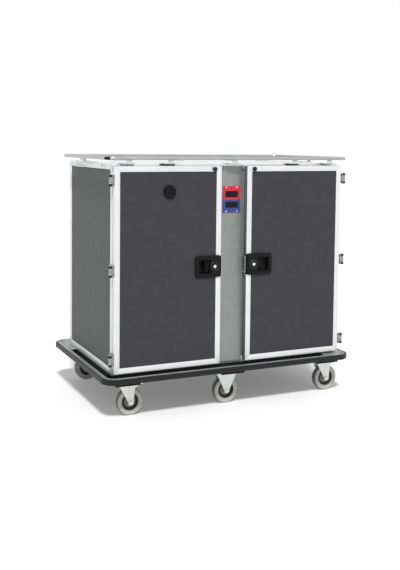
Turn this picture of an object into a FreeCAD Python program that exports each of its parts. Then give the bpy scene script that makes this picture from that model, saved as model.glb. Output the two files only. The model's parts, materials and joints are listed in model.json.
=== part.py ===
import FreeCAD, Part
import os
import Sketcher

# Enclosed meal tray cart with two doors on six casters.
# Millimetres, +Z up, the ground at z = 0, the doors towards -Y and the origin under its middle.

# Driving dimensions. Each is a cell of the sheet under the name given here.
SIZES = {
    # casters
    "wheel_diameter": 150,
    "tyre_width": 40,
    "tyre_shoulder": 9,
    "tyre_lip": 5,
    "rim_diameter": 98,
    "rim_width": 32,
    "rim_wall": 8,
    "web_thickness": 12,
    "hub_diameter": 34,
    "hub_length": 46,
    "axle_diameter": 12,
    "axle_head_diameter": 20,
    "axle_head_height": 5,
    "caster_height": 190,
    "caster_trail": 45,
    "caster_inset_side": 74,
    "caster_inset_front": 93,
    "caster_inset_rear": 101,
    "plate_length": 140,
    "plate_width": 110,
    "plate_thickness": 6,
    "bolt_spacing_x": 105,
    "bolt_spacing_y": 80,
    "bolt_diameter": 8,
    "bolt_head_diameter": 15,
    "bolt_head_height": 5,
    "race_diameter": 64,
    "race_height": 7,
    "kingpin_diameter": 16,
    "kingpin_head_diameter": 26,
    "kingpin_head_height": 3.5,
    "fork_thickness": 4,
    "fork_side_gap": 2,
    "fork_crown_thickness": 6,
    "fork_top_length": 140,
    "fork_shoulder": 24,
    "fork_boss_radius": 15,
    "fork_rib_width": 30,
    "fork_rib_proud": 3,
    "fixed_fork_length": 134,
    # base
    "frame_height": 50,
    "carrier_height": 17,
    "carrier_setback": 40,
    "under_sheet_thickness": 2,
    "under_sheet_margin": 6,
    "stringer_width": 60,
    "tube_wall": 3,
    "side_overhang": 68,
    "front_overhang": 56,
    "rear_overhang": 144,
    "ring_width": 22,
    "bumper_depth": 12,
    "bumper_corner_radius": 80,
    "corner_plate_reach": 102,
    "corner_plate_side_reach": 136,
    "corner_plate_thickness": 4,
    # cabinet
    "cabinet_length": 1400,
    "cabinet_depth": 780,
    "cabinet_height": 1126,
    "wall_thickness": 35,
    "panel_recess": 3,
    "post_width": 32,
    "top_rail_height": 30,
    "bottom_rail_height": 36,
    "column_width": 140,
    "partition_thickness": 40,
    "partition_gap": 2,
    "cover_thickness": 2,
    "cover_flange": 30,
    "cover_sill_depth": 12,
    # display on the column
    "display_width": 110,
    "display_height": 148,
    "display_thickness": 3,
    "display_centre_height": 928,
    "display_corner_radius": 4,
    "window_width": 77,
    "window_height": 34,
    "window_spacing": 59,
    "window_proud": 1,
    # tray racks
    "rack_levels": 10,
    "level_pitch": 100,
    "first_level_height": 24,
    "upright_thickness": 6,
    "upright_width": 25,
    "runner_width": 18,
    "runner_thickness": 2,
    "runner_flange_height": 14,
    "runner_back_gap": 12,
    "runner_front_gap": 14,
    # doors
    "door_column_gap": 10,
    "door_height": 1100,
    "door_thickness": 30,
    "door_gap": 10,
    "door_foot_gap": 15,
    "door_frame_width": 30,
    "door_panel_recess": 2,
    "gasket_inset": 6,
    "gasket_width": 20,
    # hinges
    "hinge_offset": 22,
    "hinge_setback": 2,
    "hinge_height": 60,
    "hinge_pin_diameter": 10,
    "knuckle_diameter": 18,
    "leaf_thickness": 4,
    "leaf_width": 30,
    "hinge_low": 73,
    "hinge_high": 1026,
    # door latch
    "housing_width": 159,
    "housing_height": 120,
    "housing_lip": 10,
    "housing_proud": 10,
    "housing_depth": 26,
    "housing_wall": 8,
    "housing_corner_radius": 17,
    "housing_edge_radius": 4,
    "latch_height": 548,
    "cup_width": 69,
    "cup_height": 76,
    "cup_inset": 22,
    "lever_thickness": 4,
    "lever_depth": 13,
    "lever_grip_reach": 36,
    "lever_tail_gap": 4,
    "lever_tail_height": 20,
    "lever_end_gap": 2,
    "lever_hub_diameter": 12,
    "lever_pin_diameter": 6,
    "lock_inset": 42,
    "lock_diameter": 18,
    "lock_length": 11,
    "lock_proud": 1,
    "lock_boss_diameter": 50,
    "lock_boss_height": 3,
    "key_slot_width": 2,
    "key_slot_height": 9,
    "key_slot_depth": 5,
    "keeper_thickness": 5,
    "keeper_height": 96,
    "keeper_reach": 36,
    "keeper_rim": 6,
    # hold-open studs, catches and the vent knob
    "stud_diameter": 25,
    "stud_length": 10,
    "stud_inset": 43,
    "stud_drop": 17,
    "catch_length": 133,
    "catch_height": 25,
    "catch_thickness": 7,
    "catch_drop": 19,
    "catch_end_length": 14,
    "buffer_length": 37,
    "buffer_thickness": 10,
    "buffer_height": 20,
    "buffer_place": 196,
    "vent_diameter": 74,
    "vent_height": 962,
    "vent_thickness": 6,
    "vent_grip_height": 5,
    "vent_grip_width": 12,
    "vent_grip_length": 62,
    "vent_spindle_diameter": 12,
    "vent_spindle_length": 16,
    # gallery rail
    "rail_diameter": 18,
    "rail_rise": 31,
    "rail_side_overhang": 45,
    "rail_front_overhang": 10,
    "rail_corner_radius": 40,
    "bracket_length": 78,
    "bracket_thickness": 4,
    "bracket_post_width": 30,
    "bracket_spacing": 385,
    "bracket_end_place": 620,
    "bracket_foot": 34,
    # inside
    "element_diameter": 10,
    "element_pitch": 60,
    "element_height": 60,
    "element_inset": 60,
    "element_clip_width": 20,
    "eutectic_side_gap": 4,
    "eutectic_depth": 325,
    "eutectic_thickness": 30,
    "control_box_height": 260,
    "control_box_depth": 90,
    "control_box_setback": 60,
    "control_box_top_gap": 30,
    "inlet_width": 60,
    "inlet_height": 50,
    "inlet_depth": 45,
    "inlet_flange": 8,
    "inlet_flange_thickness": 3,
    "inlet_place_height": 160,
    # fits
    "running_clearance": 0.05,
    "seat_clearance": 0.3,
    "bolt_clearance": 0.5,
}

doc = FreeCAD.newDocument("tray_cart")
sheet = doc.addObject("Spreadsheet::Sheet", "sizes")
for row, (alias, value) in enumerate(SIZES.items(), start=1):
    sheet.set(f"A{row}", alias)
    sheet.set(f"B{row}", str(value))
    sheet.setAlias(f"B{row}", alias)
doc.recompute()

Vector = FreeCAD.Vector
NODES = []


class Length:
    """A length that carries its value and its formula in the sheet's names."""

    def __init__(self, value, formula=None):
        self.value = float(value)
        self.formula = formula if formula else repr(float(value))

    def __add__(self, other):
        other = as_length(other)
        return Length(self.value + other.value, f"({self.formula} + {other.formula})")

    def __sub__(self, other):
        other = as_length(other)
        return Length(self.value - other.value, f"({self.formula} - {other.formula})")

    def __mul__(self, factor):
        return Length(self.value * factor, f"({self.formula} * {factor})")

    def __truediv__(self, divisor):
        return Length(self.value / divisor, f"({self.formula} / {divisor})")

    def __neg__(self):
        return self * -1

    def __lt__(self, other):
        return self.value < as_length(other).value

    __radd__ = __add__
    __rmul__ = __mul__

    def __rsub__(self, other):
        return as_length(other) - self


def as_length(size):
    return size if isinstance(size, Length) else Length(size)


class Sheet:
    """The driving dimensions by name, each as a Length."""

    def __getattr__(self, alias):
        return Length(SIZES[alias], f"sizes.{alias}")


d = Sheet()


# ---- building blocks ------------------------------------------------------------------

def bind(thing, prop, size):
    thing.setExpression(prop, as_length(size).formula)


def place(thing, x=0, y=0, z=0):
    for letter, size in zip("xyz", (x, y, z)):
        bind(thing, f"Placement.Base.{letter}", size)
    return thing


def block(name, x, y, z):
    """A box between two planes on each axis, which may be given in either order."""
    solid = doc.addObject("Part::Box", name)
    for prop, letter, ends in (("Length", "x", x), ("Width", "y", y), ("Height", "z", z)):
        low, high = sorted(as_length(end) for end in ends)
        bind(solid, prop, high - low)
        bind(solid, f"Placement.Base.{letter}", low)
    return solid


AXIS_TURNS = {
    "X": FreeCAD.Rotation(Vector(0, 1, 0), 90),
    "Y": FreeCAD.Rotation(Vector(1, 0, 0), -90),
    "Z": FreeCAD.Rotation(),
}


def rod(name, diameter, centre, ends, axis="Z"):
    """A cylinder between two planes along its axis. centre holds the other two coordinates."""
    solid = doc.addObject("Part::Cylinder", name)
    low, high = sorted(as_length(end) for end in ends)
    bind(solid, "Radius", diameter / 2)
    bind(solid, "Height", high - low)
    solid.Placement = FreeCAD.Placement(Vector(), AXIS_TURNS[axis])
    along = "XYZ".index(axis)
    start = list(centre)
    start.insert(along, low)
    return place(solid, *start)


def fuse(name, *pieces):
    joined = doc.addObject("Part::MultiFuse", name)
    joined.Shapes = list(pieces)
    joined.Refine = True
    return joined


def cut(name, base, *tools):
    result = doc.addObject("Part::Cut", name)
    result.Base = base
    result.Tool = tools[0] if len(tools) == 1 else fuse(name + "_tools", *tools)
    result.Refine = True
    return result


def group(name, pieces):
    """Separate solids that share one node."""
    holder = doc.addObject("Part::Compound", name)
    holder.Links = list(pieces)
    return holder


def node(label, thing):
    """Marks a finished sub-part. Its label names its file."""
    thing.Label = label
    NODES.append(thing)
    return thing


def sketch_on(body, plane, corners):
    """A closed outline with straight sides, each corner held by its distances to the axes."""
    sketch = body.newObject("Sketcher::SketchObject", body.Name + "_outline")
    support = next(part for part in body.Origin.OriginFeatures if part.Role == plane)
    sketch.AttachmentSupport = [(support, "")]
    sketch.MapMode = "FlatFace"
    corners = [(as_length(across), as_length(up)) for across, up in corners]
    points = [Vector(across.value, up.value, 0) for across, up in corners]
    count = len(points)
    for side in range(count):
        sketch.addGeometry(Part.LineSegment(points[side], points[(side + 1) % count]))
    for side in range(count):
        sketch.addConstraint(Sketcher.Constraint("Coincident", side, 2, (side + 1) % count, 1))
    for side, corner in enumerate(corners):
        for kind, size in zip(("DistanceX", "DistanceY"), corner):
            index = sketch.addConstraint(Sketcher.Constraint(kind, -1, 1, side, 1, size.value))
            sketch.setExpression(f"Constraints[{index}]", size.formula)
    return sketch


# The plane of an outline and the axis that its pad runs along, towards + or -.
PAD_PLANES = {"X": "YZ_Plane", "Y": "XZ_Plane", "Z": "XY_Plane"}


def slab(name, axis, corners, ends):
    """An outline square to an axis, padded between two planes along it."""
    low, high = sorted(as_length(end) for end in ends)
    body = doc.addObject("PartDesign::Body", name)
    sketch = sketch_on(body, PAD_PLANES[axis], corners)
    pad = body.newObject("PartDesign::Pad", name + "_pad")
    pad.Profile = sketch
    bind(pad, "Length", high - low)
    # A pad on the XZ plane runs towards -Y, the other two towards +.
    bind(body, f"Placement.Base.{axis.lower()}", high if axis == "Y" else low)
    doc.recompute()
    return body


def round_edges(body, radius, chosen):
    """Rounds the edges of a body that the test picks."""
    fillet = body.newObject("PartDesign::Fillet", body.Name + "_round")
    base = body.Tip if body.Tip is not fillet else fillet.BaseFeature
    shape = base.Shape
    names = [f"Edge{index}" for index, edge in enumerate(shape.Edges, start=1) if chosen(edge)]
    fillet.Base = (base, names)
    bind(fillet, "Radius", radius)
    body.Tip = fillet
    doc.recompute()
    return body


def runs_along(edge, axis):
    ends = [vertex.Point for vertex in edge.Vertexes]
    if len(ends) != 2:
        return False
    span = ends[1] - ends[0]
    return abs(span[axis]) > 0.99 * span.Length


def turned(name, half_section, centre):
    """A body of revolution about the Y axis. half_section holds (radius, y) corners."""
    body = doc.addObject("PartDesign::Body", name)
    sketch = sketch_on(body, "XY_Plane", half_section)
    turn = body.newObject("PartDesign::Revolution", name + "_turn")
    turn.Profile = sketch
    turn.ReferenceAxis = (sketch, ["V_Axis"])
    turn.Angle = 360
    place(body, *centre)
    doc.recompute()
    return body


def tube_bar(name, x, y, z, axis):
    """A rectangular tube, open at both ends along the given axis."""
    shrink = {letter: (0 if letter == axis else d.tube_wall) for letter in "XYZ"}
    inner = []
    for letter, ends in zip("XYZ", (x, y, z)):
        low, high = sorted(as_length(end) for end in ends)
        inner.append((low + shrink[letter], high - shrink[letter]))
    return cut(name, block(name + "_outside", x, y, z), block(name + "_bore", *inner))


# ---- main places ----------------------------------------------------------------------

deck_top = d.caster_height + d.frame_height
cabinet_top = deck_top + d.cabinet_height
half_length = d.cabinet_length / 2
door_stand = d.door_thickness + d.door_gap
half_depth = (d.cabinet_depth + door_stand) / 2
# The deck reaches farther back than forward, so the cabinet stands ahead of the deck's middle.
cabinet_middle = (d.front_overhang - d.rear_overhang) / 2
door_front = cabinet_middle - half_depth
door_back = door_front + d.door_thickness
cabinet_front = door_front + door_stand
cabinet_back = cabinet_front + d.cabinet_depth
inner_length = half_length - d.panel_recess - d.wall_thickness
inner_front = cabinet_front + d.panel_recess + d.wall_thickness
inner_back = cabinet_back - d.panel_recess - d.wall_thickness
bay_floor = deck_top + d.bottom_rail_height
bay_ceiling = cabinet_top - d.panel_recess - d.wall_thickness
door_bottom = deck_top + d.door_foot_gap
door_top = door_bottom + d.door_height
free_edge_x = d.column_width / 2 + d.door_column_gap
door_width = half_length - free_edge_x
ring_x = half_length + d.side_overhang - d.bumper_depth
ring_y = half_depth + (d.front_overhang + d.rear_overhang) / 2 - d.bumper_depth
carrier_top = d.caster_height + d.carrier_height
ring_bottom = carrier_top + d.under_sheet_thickness
caster_x = half_length - d.caster_inset_side
caster_rows = {"front": door_front + d.caster_inset_front,
               "rear": ring_y + d.bumper_depth - d.caster_inset_rear}
partition_inner = d.column_width / 2 + d.partition_gap
partition_outer = partition_inner + d.partition_thickness
SIDES = {"left": -1, "right": 1}


# ---- cabinet --------------------------------------------------------------------------

def make_frame_profiles():
    pieces = []
    post_backs = ((cabinet_front, cabinet_front + d.post_width), (cabinet_back - d.post_width, cabinet_back))
    rails = ((deck_top, bay_floor), (cabinet_top - d.top_rail_height, cabinet_top))
    for side in (-1, 1):
        across = (inner_length * side, half_length * side)
        for depth in post_backs:
            pieces.append(block("post", across, depth, (deck_top, cabinet_top)))
        for height in rails:
            between = (cabinet_front + d.post_width, cabinet_back - d.post_width)
            pieces.append(block("side_rail", across, between, height))
    for depth in ((cabinet_front, inner_front), (inner_back, cabinet_back)):
        for height in rails:
            pieces.append(block("cross_rail", (-inner_length, inner_length), depth, height))
    node("frame_profiles", group("frame_profiles_group", pieces))


def make_panels():
    side_depth = (cabinet_front + d.post_width, cabinet_back - d.post_width)
    wall_height = (bay_floor, cabinet_top - d.top_rail_height)
    for name, side in SIDES.items():
        across = (inner_length * side, (half_length - d.panel_recess) * side)
        node(f"side_panel_{name}", block(f"{name}_wall", across, side_depth, wall_height))
    full_width = (-inner_length, inner_length)
    back = block("back_wall", full_width, (inner_back, cabinet_back - d.panel_recess), wall_height)
    opening = block("inlet_opening", *inlet_body_spans())
    node("back_panel", cut("back_wall_cut", back, opening))
    top_height = (bay_ceiling, cabinet_top - d.panel_recess)
    node("top_panel", block("roof", full_width, (inner_front, inner_back), top_height))
    node("floor_panel", block("floor", full_width, (inner_front, inner_back), (deck_top, bay_floor)))


def make_partitions():
    walls = []
    for side in (-1, 1):
        across = (partition_inner * side, partition_outer * side)
        walls.append(block("partition", across, (cabinet_front, inner_back), (bay_floor, bay_ceiling)))
    node("bay_partitions", group("bay_partitions_group", walls))


def make_column_cover():
    half = d.column_width / 2
    face = block("cover_face", (-half, half), (cabinet_front - d.cover_thickness, cabinet_front),
                 (door_bottom, cabinet_top))
    flanges = []
    for side in (-1, 1):
        across = (half * side, (half - d.cover_thickness) * side)
        depth = (cabinet_front, cabinet_front + d.cover_flange)
        flanges.append(block("cover_flange_wall", across, depth, (bay_floor, bay_ceiling)))
    sill_front = cabinet_front - d.cover_thickness - d.cover_sill_depth
    sill = block("cover_sill", (-half, half), (sill_front, cabinet_front),
                 (door_bottom, door_bottom + d.cover_thickness))
    node("column_cover", fuse("column_cover_sheet", face, *flanges, sill))


def make_display():
    face = cabinet_front - d.cover_thickness
    middle = door_bottom + d.display_centre_height - d.door_foot_gap
    half_width = d.display_width / 2
    half_height = d.display_height / 2
    corners = [(-half_width, middle - half_height), (half_width, middle - half_height),
               (half_width, middle + half_height), (-half_width, middle + half_height)]
    plate = slab("display_plate_body", "Y", corners, (face - d.display_thickness, face))
    round_edges(plate, d.display_corner_radius, lambda edge: runs_along(edge, 1))
    node("display_plate", plate)
    windows = []
    for rank in (-1, 1):
        centre = middle + d.window_spacing * rank / 2
        front = face - d.display_thickness
        windows.append(block("window", (-d.window_width / 2, d.window_width / 2),
                             (front - d.window_proud, front),
                             (centre - d.window_height / 2, centre + d.window_height / 2)))
    node("display_windows", group("display_windows_group", windows))


# ---- racks and what the bays hold -------------------------------------------------------

def rack_walls():
    """Each wall that carries runners, as its place and the way that the runners stand off it."""
    walls = []
    for side in (-1, 1):
        walls.append((inner_length * side, -side))
        walls.append((partition_outer * side, side))
    return walls


rack_back = inner_back - d.runner_back_gap
rack_front = cabinet_front + d.runner_front_gap


def level_height(level):
    return bay_floor + d.first_level_height + d.level_pitch * level


def make_racks():
    runners = []
    uprights = []
    for wall, away in rack_walls():
        foot = wall + d.upright_thickness * away
        tip = foot + d.runner_width * away
        for level in range(int(SIZES["rack_levels"])):
            top = level_height(level)
            shelf = block("shelf", (foot, tip), (rack_front, rack_back), (top - d.runner_thickness, top))
            flange = block("flange", (foot, foot + d.runner_thickness * away), (rack_front, rack_back),
                           (top - d.runner_flange_height, top))
            runners.append(fuse("runner", shelf, flange))
        length = rack_back - rack_front - d.upright_width
        for step in (0, 1, 2):
            start = rack_front + length * step / 2
            uprights.append(block("upright", (wall, foot), (start, start + d.upright_width),
                                  (bay_floor, bay_ceiling)))
    node("tray_runners", group("tray_runners_group", runners))
    node("rack_uprights", group("rack_uprights_group", uprights))


def make_heating_element():
    """A hairpin of sheathed tube low on the back wall of the left bay, held by two clips."""
    runs = 3
    left = -inner_length + d.element_inset
    right = -partition_outer - d.element_inset
    depth = inner_back - d.element_inset / 2
    pieces = []
    for run in range(runs):
        height = bay_floor + d.element_height + d.element_pitch * run
        pieces.append(rod("element_run", d.element_diameter, (depth, height), (left, right), "X"))
    for bend in range(runs - 1):
        height = bay_floor + d.element_height + d.element_pitch * (bend + 0.5)
        turn = doc.addObject("Part::Torus", "element_bend")
        bind(turn, "Radius1", d.element_pitch / 2)
        bind(turn, "Radius2", d.element_diameter / 2)
        turn.Angle3 = 180
        outward = 90 if bend % 2 == 0 else -90
        quarter = FreeCAD.Rotation(Vector(1, 0, 0), 90)
        turn.Placement = FreeCAD.Placement(Vector(), FreeCAD.Rotation(Vector(0, 1, 0), outward) * quarter)
        place(turn, right if bend % 2 == 0 else left, depth, height)
        pieces.append(turn)
    low = bay_floor + d.element_height - d.element_diameter
    high = bay_floor + d.element_height + d.element_pitch * (runs - 1) + d.element_diameter
    for share in (1, 3):
        middle = left + (right - left) * share / 4
        clip = (middle - d.element_clip_width / 2, middle + d.element_clip_width / 2)
        pieces.append(block("element_clip", clip, (depth, inner_back), (low, high)))
    node("heating_element", fuse("heating_element_tube", *pieces))


def make_eutectic_plate():
    """A cold plate on the top runners of the right bay."""
    inset = d.upright_thickness + d.eutectic_side_gap
    bottom = level_height(int(SIZES["rack_levels"]) - 1)
    back = rack_back - d.seat_clearance
    plate = block("cold_plate", (partition_outer + inset, inner_length - inset),
                  (back - d.eutectic_depth, back), (bottom, bottom + d.eutectic_thickness))
    node("eutectic_plate", plate)


def make_control_box():
    front = cabinet_front + d.control_box_setback
    high = bay_ceiling - d.control_box_top_gap
    box = block("control_case", (-partition_inner, partition_inner),
                (front, front + d.control_box_depth), (high - d.control_box_height, high))
    node("control_box", box)


def inlet_body_spans():
    half = d.inlet_width / 2
    outside = cabinet_back - d.panel_recess
    bottom = bay_floor + d.inlet_place_height
    return ((-half, half), (outside - d.inlet_depth, outside), (bottom, bottom + d.inlet_height))


def make_power_inlet():
    across, depth, height = inlet_body_spans()
    body = block("inlet_body", across, depth, height)
    rim = d.inlet_flange
    outside = cabinet_back - d.panel_recess
    flange = block("inlet_rim", (across[0] - rim, across[1] + rim),
                   (outside, outside + d.inlet_flange_thickness), (height[0] - rim, height[1] + rim))
    wall = d.tube_wall
    socket = block("inlet_socket", (across[0] + wall, across[1] - wall),
                   (depth[0] + wall, outside + d.inlet_flange_thickness),
                   (height[0] + wall, height[1] - wall))
    node("power_inlet", cut("power_inlet_shell", fuse("inlet_solid", body, flange), socket))


# ---- base, deck ring and bumper ---------------------------------------------------------

def rounded_ring(prefix, half_x, half_y, corner, width, height):
    """Four straight bars and four quarter-round corners around the origin."""
    pieces = []
    for side in (-1, 1):
        pieces.append(block(prefix + "_long_bar", (-(half_x - corner), half_x - corner),
                            ((half_y - width) * side, half_y * side), height))
        pieces.append(block(prefix + "_short_bar", ((half_x - width) * side, half_x * side),
                            (-(half_y - corner), half_y - corner), height))
    low, high = height
    for turn, (along_x, along_y) in enumerate(((1, 1), (-1, 1), (-1, -1), (1, -1))):
        centre = ((half_x - corner) * along_x, (half_y - corner) * along_y)
        elbow = []
        for radius in (corner, corner - width):
            quarter = doc.addObject("Part::Cylinder", prefix + "_quarter")
            bind(quarter, "Radius", radius)
            bind(quarter, "Height", high - low)
            quarter.Angle = 90
            quarter.Placement = FreeCAD.Placement(Vector(), FreeCAD.Rotation(Vector(0, 0, 1), 90 * turn))
            place(quarter, centre[0], centre[1], low)
            elbow.append(quarter)
        pieces.append(cut(prefix + "_corner", *elbow))
    return pieces


def make_deck_ring():
    corner = d.bumper_corner_radius - d.bumper_depth
    pieces = rounded_ring("ring", ring_x, ring_y, corner, d.ring_width, (ring_bottom, deck_top))
    ring_elbows = (pieces[-1], pieces[-3])
    inside_x = ring_x - d.ring_width
    inside_y = ring_y - d.ring_width
    height = (deck_top - d.corner_plate_thickness, deck_top)
    # The two corner plates lie opposite each other, at the left back and at the right front.
    for side, wall in ((-1, cabinet_back), (1, cabinet_front)):
        start = half_length - d.corner_plate_reach
        along = block("plate_along", (start * side, inside_x * side), (wall, inside_y * -side), height)
        beside = block("plate_beside", (half_length * side, inside_x * side),
                       (inside_y * -side, wall + d.corner_plate_side_reach * side), height)
        elbow = ring_elbows[0] if side > 0 else ring_elbows[1]
        pieces.append(cut("corner_plate_fit", fuse("corner_plate", along, beside), elbow))
    node("deck_ring", group("deck_ring_group", pieces))


def make_bumper():
    half_x = ring_x + d.bumper_depth
    half_y = ring_y + d.bumper_depth
    pieces = rounded_ring("bumper", half_x, half_y, d.bumper_corner_radius, d.bumper_depth,
                          (ring_bottom, deck_top))
    node("rubber_bumper", group("rubber_bumper_group", pieces))


def caster_places():
    """Each caster's name, pivot and kind."""
    places = []
    for row, y in caster_rows.items():
        for column, x in (("left", -caster_x), ("middle", as_length(0)), ("right", caster_x)):
            places.append((f"{row}_{column}", x, y, column != "middle"))
    return places


def bolt_centres(x, y):
    return [(x + d.bolt_spacing_x * along / 2, y + d.bolt_spacing_y * across / 2)
            for along in (-1, 1) for across in (-1, 1)]


def make_base_frame():
    pieces = []
    carrier_half = d.plate_length / 2
    carrier_end = ring_y + d.bumper_depth - d.carrier_setback
    for x in (-caster_x, as_length(0), caster_x):
        carrier = tube_bar("carrier", (x - carrier_half, x + carrier_half), (-carrier_end, carrier_end),
                           (d.caster_height, carrier_top), "Y")
        holes = []
        for y in caster_rows.values():
            for centre in bolt_centres(x, y):
                holes.append(rod("carrier_hole", d.bolt_diameter + d.bolt_clearance * 2, centre,
                                 (d.caster_height, d.caster_height + d.tube_wall)))
        pieces.append(cut("drilled_carrier", carrier, *holes))
    rows = ((cabinet_front, cabinet_front + d.stringer_width),
            (cabinet_back - d.stringer_width, cabinet_back))
    for depth in rows:
        pieces.append(tube_bar("stringer", (-half_length, half_length), depth, (ring_bottom, deck_top), "X"))
    between = (rows[0][1], rows[1][0])
    cross_half = d.stringer_width / 2
    for x in (-(half_length - cross_half), as_length(0), half_length - cross_half):
        pieces.append(tube_bar("cross_member", (x - cross_half, x + cross_half), between,
                               (ring_bottom, deck_top), "Y"))
    # One sheet closes the base from below and carries the deck ring.
    sheet_x = ring_x - d.ring_width + d.under_sheet_margin
    sheet_y = ring_y - d.ring_width + d.under_sheet_margin
    pieces.append(block("under_sheet", (-sheet_x, sheet_x), (-sheet_y, sheet_y), (carrier_top, ring_bottom)))
    node("base_frame", group("base_frame_group", pieces))


# ---- casters ----------------------------------------------------------------------------

plate_bottom = d.caster_height - d.plate_thickness
race_bottom = plate_bottom - d.race_height
axle_height = d.wheel_diameter / 2
fork_inside = d.hub_length / 2 + d.fork_side_gap
fork_outside = fork_inside + d.fork_thickness
rib_outside = fork_outside + d.fork_rib_proud


def mounting_plate(x, y):
    plate = block("caster_plate", (x - d.plate_length / 2, x + d.plate_length / 2),
                  (y - d.plate_width / 2, y + d.plate_width / 2), (plate_bottom, d.caster_height))
    holes = [rod("plate_hole", d.bolt_diameter + d.bolt_clearance * 2, centre,
                 (plate_bottom, d.caster_height)) for centre in bolt_centres(x, y)]
    return cut("drilled_plate", plate, *holes)


def leg_pair(name, y, corners, near, far):
    """The same outline on both sides of the wheel, rounded below the axle."""
    lowest = min(up.value for across, up in corners)
    pair = []
    for side in (-1, 1):
        leg = slab(name, "Y", corners, (y + near * side, y + far * side))
        round_edges(leg, d.fork_boss_radius * 0.6, lambda edge: runs_along(edge, 1)
                    and edge.CenterOfMass.z < lowest + 1)
        pair.append(leg)
    return pair


def fixed_legs(x, y, top):
    half = d.fixed_fork_length / 2
    boss = d.fork_boss_radius
    corners = [(x - half, top), (x + half, top), (x + boss, axle_height), (x + boss, axle_height - boss),
               (x - boss, axle_height - boss), (x - boss, axle_height)]
    return leg_pair("fixed_leg", y, corners, fork_inside, fork_outside)


def swivel_legs(x, y, top):
    """A sloping gusset on the leading side and a pressed upright rib over the axle."""
    half = d.fork_top_length / 2
    boss = d.fork_boss_radius
    shoulder = d.fork_shoulder
    gusset = [(x - half, top), (x + half, top), (x + shoulder, top - shoulder), (x + boss, axle_height),
              (x + boss, axle_height - boss), (x - boss, axle_height - boss), (x - boss, axle_height)]
    rib_start = x + shoulder - d.fork_rib_width
    rib = [(rib_start, top), (x + shoulder, top), (x + boss, axle_height), (x + boss, axle_height - boss),
           (x - boss, axle_height - boss), (x - boss, axle_height)]
    return leg_pair("swivel_leg", y, gusset, fork_inside, fork_outside) \
        + leg_pair("leg_rib", y, rib, fork_outside, rib_outside)


def axle_bolt(x, y, outside):
    ends = outside + d.seat_clearance
    shank = rod("axle_shank", d.axle_diameter, (x, axle_height), (y - ends, y + ends), "Y")
    heads = [rod("axle_head", d.axle_head_diameter, (x, axle_height),
                 (y + ends * side, y + (ends + d.axle_head_height) * side), "Y") for side in (-1, 1)]
    return fuse("axle_bolt", shank, *heads)


def axle_hole(x, y, outside):
    return rod("axle_hole", d.axle_diameter + d.running_clearance * 2, (x, axle_height),
               (y - outside, y + outside), "Y")


def make_swivel_fork(name, x, y):
    wheel_x = x + d.caster_trail
    crown_top = race_bottom - d.seat_clearance
    crown_height = (crown_top - d.fork_crown_thickness, crown_top)
    half = d.fork_top_length / 2
    crown = block("crown", (wheel_x - half, wheel_x + half), (y - rib_outside, y + rib_outside), crown_height)
    ring = rod("crown_ring", d.race_diameter, (x, y), crown_height)
    bore = rod("kingpin_bore", d.kingpin_diameter + d.running_clearance * 2, (x, y), crown_height)
    solid = fuse("fork_solid", crown, ring, *swivel_legs(wheel_x, y, crown_top))
    fork = cut("fork", solid, bore, axle_hole(wheel_x, y, rib_outside))
    node(f"swivel_fork_{name}", group("swivel_fork_group", [fork, axle_bolt(wheel_x, y, rib_outside)]))


def make_wheel(name, x, y):
    centre = (x, y, axle_height)
    bore = d.axle_diameter / 2 + d.running_clearance
    hub = d.hub_diameter / 2
    rim = d.rim_diameter / 2
    well = rim - d.rim_wall
    half_section = [(bore, -d.hub_length / 2), (hub, -d.hub_length / 2), (hub, -d.web_thickness / 2),
                    (well, -d.web_thickness / 2), (well, -d.rim_width / 2), (rim, -d.rim_width / 2)]
    mirrored = [(radius, -across) for radius, across in reversed(half_section)]
    node(f"wheel_rim_{name}", turned("rim", half_section + mirrored, centre))
    tread = d.wheel_diameter / 2
    half_tyre = d.tyre_width / 2
    half_section = [(rim, -d.rim_width / 2), (rim + d.tyre_lip, -half_tyre), (tread, -half_tyre)]
    mirrored = [(radius, -across) for radius, across in reversed(half_section)]
    tyre = turned("tyre", half_section + mirrored, centre)
    round_edges(tyre, d.tyre_shoulder, lambda edge: edge.BoundBox.ZLength > (tread * 2).value - 1)
    node(f"tyre_{name}", tyre)


def make_casters():
    top_plates = []
    fixed = []
    bolts = []
    for name, x, y, swivels in caster_places():
        plate = mounting_plate(x, y)
        if swivels:
            race = rod("race", d.race_diameter, (x, y), (race_bottom, plate_bottom))
            crown_bottom = race_bottom - d.seat_clearance - d.fork_crown_thickness
            head_top = crown_bottom - d.seat_clearance
            pin = rod("kingpin", d.kingpin_diameter, (x, y), (head_top, race_bottom))
            head = rod("kingpin_head", d.kingpin_head_diameter, (x, y),
                       (head_top - d.kingpin_head_height, head_top))
            top_plates.append(fuse("swivel_plate", plate, race, pin, head))
            make_swivel_fork(name, x, y)
            make_wheel(name, x + d.caster_trail, y)
        else:
            solid = fuse("fixed_fork_solid", plate, *fixed_legs(x, y, plate_bottom))
            fork = cut("fixed_fork", solid, axle_hole(x, y, fork_outside))
            fixed.extend([fork, axle_bolt(x, y, fork_outside)])
            make_wheel(name, x, y)
        for centre in bolt_centres(x, y):
            shank = rod("bolt_shank", d.bolt_diameter, centre,
                        (plate_bottom, d.caster_height + d.tube_wall * 2))
            head = doc.addObject("Part::Prism", "bolt_head")
            head.Polygon = 6
            bind(head, "Circumradius", d.bolt_head_diameter / 2)
            bind(head, "Height", d.bolt_head_height)
            place(head, centre[0], centre[1], plate_bottom - d.bolt_head_height)
            bolts.append(fuse("bolt", shank, head))
    node("swivel_top_plates", group("swivel_top_plates_group", top_plates))
    node("fixed_caster_forks", group("fixed_caster_forks_group", fixed))
    node("caster_bolts", group("caster_bolts_group", bolts))


# ---- doors ------------------------------------------------------------------------------

hinge_y = door_front + d.hinge_setback
latch_middle = door_bottom + d.latch_height
housing_back = door_front + d.housing_depth


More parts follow.
